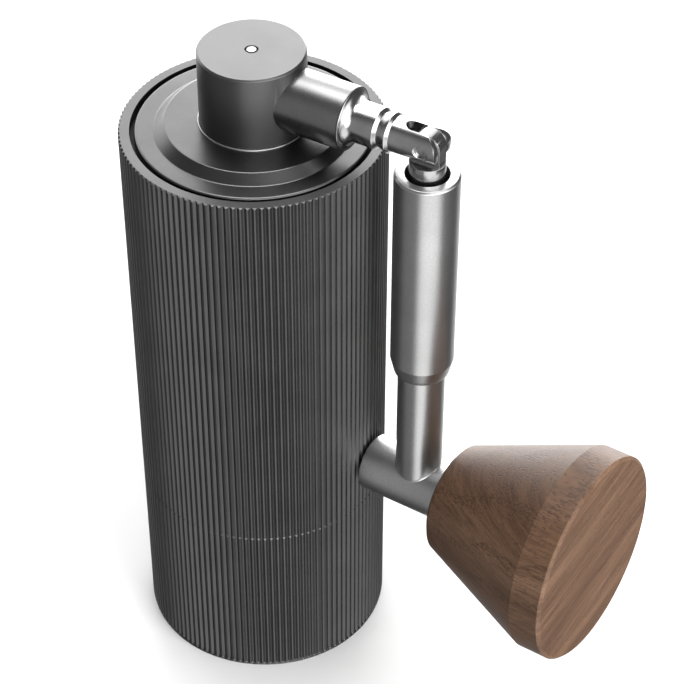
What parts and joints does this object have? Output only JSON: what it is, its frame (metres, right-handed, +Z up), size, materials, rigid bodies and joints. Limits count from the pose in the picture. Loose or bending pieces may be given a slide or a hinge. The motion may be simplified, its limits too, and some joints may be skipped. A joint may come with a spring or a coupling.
{
  "type": "hand crank coffee grinder",
  "caption": "Slim fluted cylindrical hand coffee grinder with a lift-out lid, screw-off catch cup and a steel crank arm folded down its side, ending in a conical wooden knob.",
  "frame": {"origin": "middle of the cup's base, on the table", "axes": "+Z up along the body, +X towards the folded arm"},
  "size_m": [0.0948, 0.046, 0.1275],
  "materials": {
    "dark_anodised": "fine blasted, dark grey anodised",
    "hub_anodised": "turned, dark grey anodised",
    "bare_aluminium": "turned, clear anodised",
    "frame_plastic": "moulded, matte",
    "bearing_steel": "ground",
    "burr_steel": "hardened and ground",
    "spring_steel": "drawn wire and strip",
    "polished_steel": "bright turned",
    "satin_steel": "fine blasted satin",
    "black_rubber": "matte",
    "black_plastic": "matte",
    "sleeve_brass": "turned",
    "walnut": "oiled, open pored"
  },
  "bodies": {
    "housing": {"body_shell": "dark_anodised", "body_liner": "bare_aluminium", "bearing_spider": "frame_plastic", "upper_bearing": "bearing_steel", "lower_bearing": "bearing_steel", "ring_burr": "burr_steel"},
    "cup": {"catch_cup": "dark_anodised"},
    "lid": {"lid": "dark_anodised", "lid_seal": "black_rubber", "lid_bush": "black_plastic"},
    "crank": {"crank_hub": "hub_anodised", "hub_pin": "polished_steel", "hub_clip": "spring_steel", "fork_shaft": "polished_steel", "hinge_pin": "polished_steel"},
    "slider": {"tongue_slider": "polished_steel"},
    "arm": {"arm_tube": "satin_steel", "arm_stop_ring": "black_plastic", "cross_tube": "satin_steel", "knob_spindle": "bearing_steel"},
    "knob": {"knob": "walnut", "knob_sleeve": "sleeve_brass"},
    "shaft": {"drive_shaft": "bearing_steel", "shaft_clip": "spring_steel", "burr_spring": "spring_steel"},
    "cone": {"cone_burr": "burr_steel"},
    "dial": {"adjust_dial": "bare_aluminium"}
  },
  "joints": [
    {"name": "cup_unscrew", "type": "slide", "parent": "housing", "child": "cup", "axis": [0, 0, -1], "range_m": [0, 0.02]},
    {"name": "lid_lift", "type": "slide", "parent": "housing", "child": "lid", "axis": [0, 0, 1], "range_m": [0, 0.025]},
    {"name": "crank_turn", "type": "hinge", "parent": "lid", "child": "crank", "pos_m": [0, 0, 0.1135], "axis": [0, 0, 1], "continuous": true},
    {"name": "shaft_turn", "type": "hinge", "parent": "housing", "child": "shaft", "pos_m": [0, 0, 0.09], "axis": [0, 0, 1], "continuous": true},
    {"name": "burr_set", "type": "slide", "parent": "shaft", "child": "cone", "axis": [0, 0, -1], "range_m": [0, 0.002], "deforming": ["burr_spring"]},
    {"name": "dial_turn", "type": "hinge", "parent": "cone", "child": "dial", "pos_m": [0, 0, 0.0346], "axis": [0, 0, 1], "range_deg": [0, 720]},
    {"name": "arm_fold", "type": "hinge", "parent": "crank", "child": "slider", "pos_m": [0.03331, 0, 0.1203], "axis": [0, -1, 0], "range_deg": [0, 90]},
    {"name": "arm_slide", "type": "slide", "parent": "slider", "child": "arm", "axis": [0, 0, 1], "range_m": [0, 0.002]},
    {"name": "knob_spin", "type": "hinge", "parent": "arm", "child": "knob", "pos_m": [0.03331, 0, 0.0441], "axis": [0.9963, -0.0784, 0.0349], "continuous": true}
  ],
  "couplings": [
    {"joint": "shaft_turn", "follows": "crank_turn", "ratio": 1},
    {"joint": "dial_turn", "follows": "burr_set", "rad_per_m": 6283}
  ]
}
